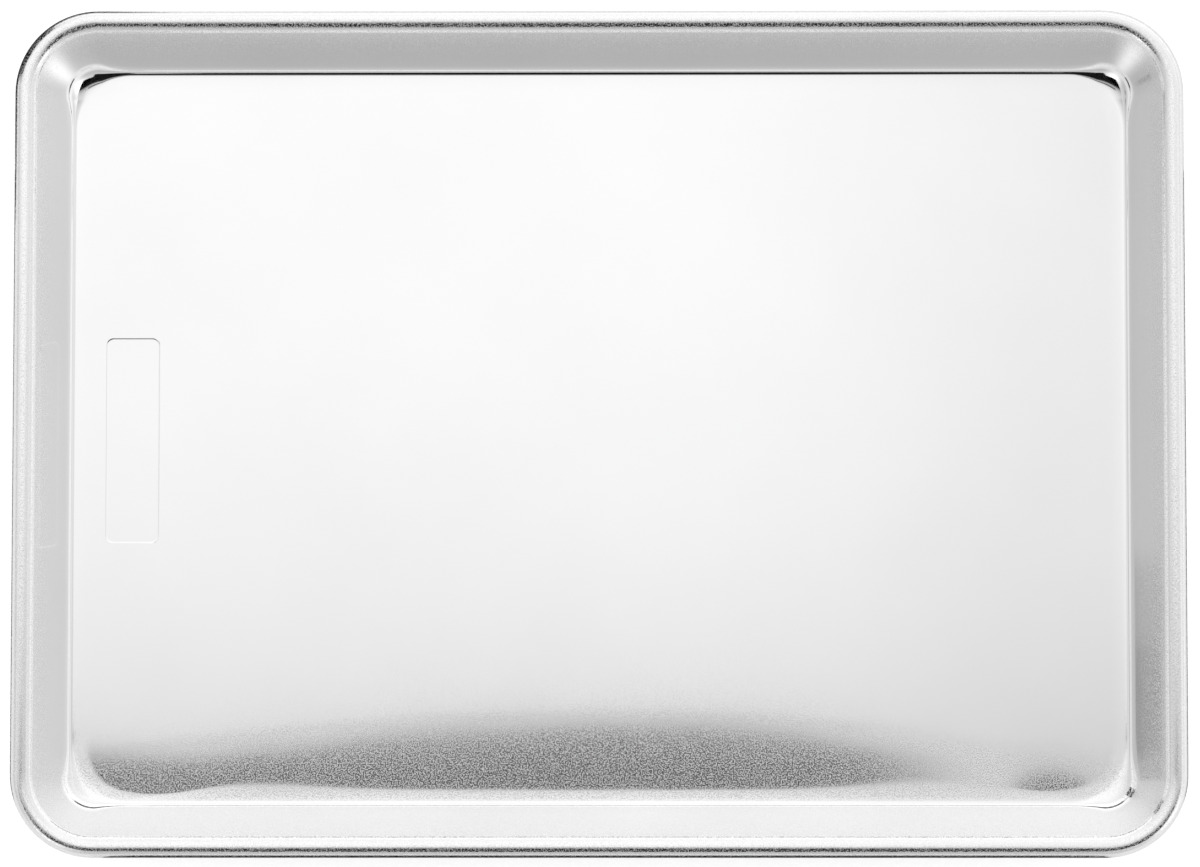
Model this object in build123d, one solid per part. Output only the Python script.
import os
from math import cos, radians, sin, tan

from build123d import *

# A baking pan of the half sheet size: one aluminium sheet drawn into a shallow
# tray, with its edge curled round a loop of steel wire.
# Millimetres, +Z up, the length along X. The origin is in the middle of the
# underside, on the surface that the pan stands on.

# The tray, over the outside of its curled rim
PAN_LENGTH = 454.0
PAN_WIDTH = 329.0
PAN_HEIGHT = 25.4
CORNER_RADIUS = 32.0
SHEET = 1.0

# The wall leans outwards by this angle from the vertical, in degrees
WALL_LEAN = 30.0

# The drawn radius between floor and wall, on the inside of the sheet, and the
# plan radius of the flat floor's corners, where that drawn radius opens out
FLOOR_FILLET_RADIUS = 3.2
FLOOR_CORNER_RADIUS = 21.0

# The curled rim: the wall rolls over a shoulder to the crest, then wraps the wire
SHOULDER_RADIUS = 6.0
WIRE_DIAMETER = 4.9
WIRE_CLEARANCE = 0.15
CURL_RADIUS = WIRE_DIAMETER / 2 + WIRE_CLEARANCE + SHEET
CURL_TURN = 270.0

# The two ends of the wire stop this far apart
WIRE_END_GAP = 0.8

# What a cutting body runs past the face that it cuts
OVERRUN = 5.0

# The sections through which the floor fillet is lofted, as shares of its turn.
# The early one keeps the sheet flat where it leaves the floor.
FILLET_STATION_SHARES = (0.0, 0.05, 0.25, 0.5, 0.75, 1.0)

# Places on the sheet's section are given by their inset from the pan's outer
# edge and their height. A corner of the rim turns about an axis at an inset of
# CORNER_RADIUS from both of its sides.
LEAN = radians(WALL_LEAN)
CORNER_X = PAN_LENGTH / 2 - CORNER_RADIUS
CORNER_Y = PAN_WIDTH / 2 - CORNER_RADIUS

# The rim joins the wall below the shoulder, where the sheet's underside starts
# to bend
CREST_INSET = CURL_RADIUS
SHOULDER_HEIGHT = PAN_HEIGHT - SHOULDER_RADIUS
WALL_TOP_INSET = CREST_INSET + SHOULDER_RADIUS * cos(LEAN)
WALL_TOP_HEIGHT = SHOULDER_HEIGHT + SHOULDER_RADIUS * sin(LEAN)
JOIN_HEIGHT = WALL_TOP_HEIGHT - SHEET * sin(LEAN)

# The sheet turns this far at the floor fillet, from the floor to the wall, and
# again over the shoulder, from the wall to the crest
WALL_TURN = 90.0 - WALL_LEAN

# The fillet leaves the flat floor at FLOOR_INSET. The flat's corners are rounder
# than the rim's corners would leave them, by CORNER_SPREAD.
FLOOR_INSET = (
    WALL_TOP_INSET
    + (WALL_TOP_HEIGHT - SHEET) * tan(LEAN)
    + FLOOR_FILLET_RADIUS * tan(radians(WALL_TURN / 2))
)
CORNER_SPREAD = FLOOR_CORNER_RADIUS - (CORNER_RADIUS - FLOOR_INSET)


def wall_inset(height):
    """Inset of the wall's inside face at a height."""
    return WALL_TOP_INSET + (WALL_TOP_HEIGHT - height) * tan(LEAN)


def plan_outline(inset, height, spread=0.0):
    """The pan's rounded plan at one height, its corners opened out by spread."""
    outline = RectangleRounded(
        PAN_LENGTH - 2 * inset,
        PAN_WIDTH - 2 * inset,
        CORNER_RADIUS - inset + spread,
    )
    return Pos(0, 0, height) * outline


def fillet_outlines(radius):
    """Plan outlines up the floor fillet, for the sheet's face of that radius."""
    outlines = []
    for share in FILLET_STATION_SHARES:
        turn = radians(WALL_TURN * share)
        inset = FLOOR_INSET - radius * sin(turn)
        height = SHEET + FLOOR_FILLET_RADIUS - radius * cos(turn)
        outlines.append(plan_outline(inset, height, CORNER_SPREAD * (1 - share) ** 2))
    return outlines


def wall_body(outlines, top_inset, top_height):
    """A solid up the floor fillet and then straight up the sloping wall."""
    foot = loft(outlines)
    wall = loft([outlines[-1], plan_outline(top_inset, top_height)], ruled=True)
    return foot + wall


def drawn_tray():
    """Floor, floor fillet and leaning walls, all of one sheet thickness."""
    sheet_across = SHEET / cos(LEAN)
    outside = wall_body(
        fillet_outlines(FLOOR_FILLET_RADIUS + SHEET),
        wall_inset(JOIN_HEIGHT) - sheet_across,
        JOIN_HEIGHT,
    )
    inside = wall_body(
        fillet_outlines(FLOOR_FILLET_RADIUS),
        wall_inset(JOIN_HEIGHT + OVERRUN),
        JOIN_HEIGHT + OVERRUN,
    )
    return outside - inside


def round_the_pan(section):
    """Carry a section, drawn outwards from a corner's axis, all round the rim."""
    pieces = []
    corner_sides = ((1, 1), (-1, 1), (-1, -1), (1, -1))
    for number, (side_x, side_y) in enumerate(corner_sides):
        corner = Pos(side_x * CORNER_X, side_y * CORNER_Y) * Rot(0, 0, 90 * number)
        straight = 2 * CORNER_Y if number % 2 == 0 else 2 * CORNER_X
        pieces.append(corner * revolve(section, Axis.Z, 90))
        pieces.append(corner * extrude(section, straight))
    return pieces[0].fuse(*pieces[1:]).clean()


def curl_section():
    """Section of the rim: wall end, shoulder, crest, and the curl round the wire."""
    middle_x = CORNER_RADIUS - CREST_INSET
    shoulder_middle = (middle_x, SHOULDER_HEIGHT)
    curl_middle = (middle_x, PAN_HEIGHT - CURL_RADIUS)
    shoulder_start = 180 - WALL_LEAN

    join_in = (CORNER_RADIUS - wall_inset(JOIN_HEIGHT), JOIN_HEIGHT)
    wall_top = (CORNER_RADIUS - WALL_TOP_INSET, WALL_TOP_HEIGHT)
    wall = Line(join_in, wall_top)
    shoulder_top = CenterArc(shoulder_middle, SHOULDER_RADIUS, shoulder_start, -WALL_TURN)
    curl_outside = CenterArc(curl_middle, CURL_RADIUS, 90, -CURL_TURN)
    curl_inside = CenterArc(curl_middle, CURL_RADIUS - SHEET, 90, -CURL_TURN)
    hem_edge = Line(curl_outside @ 1, curl_inside @ 1)
    shoulder_under = CenterArc(
        shoulder_middle, SHOULDER_RADIUS - SHEET, shoulder_start, -WALL_TURN
    )
    join = Line(shoulder_under @ 0, join_in)
    edges = [
        wall,
        shoulder_top,
        curl_outside,
        hem_edge,
        curl_inside,
        shoulder_under,
        join,
    ]
    return Plane.XZ * make_face(edges)


def pan_shell():
    """The whole sheet: the drawn tray with its curled rim."""
    return (drawn_tray() + round_the_pan(curl_section())).clean()


def rim_wire():
    """The wire inside the curl, its butted ends in the middle of a long side."""
    wire_height = PAN_HEIGHT - CURL_RADIUS
    section = Plane.XZ * Pos(CORNER_RADIUS - CREST_INSET, wire_height) * Circle(WIRE_DIAMETER / 2)
    gap_middle = Pos(0, PAN_WIDTH / 2 - CREST_INSET, wire_height)
    gap = gap_middle * Box(WIRE_END_GAP, 2 * WIRE_DIAMETER, 2 * WIRE_DIAMETER)
    return round_the_pan(section) - gap


os.makedirs("parts", exist_ok=True)
export_step(pan_shell(), "parts/pan_shell.step")
export_step(rim_wire(), "parts/rim_wire.step")
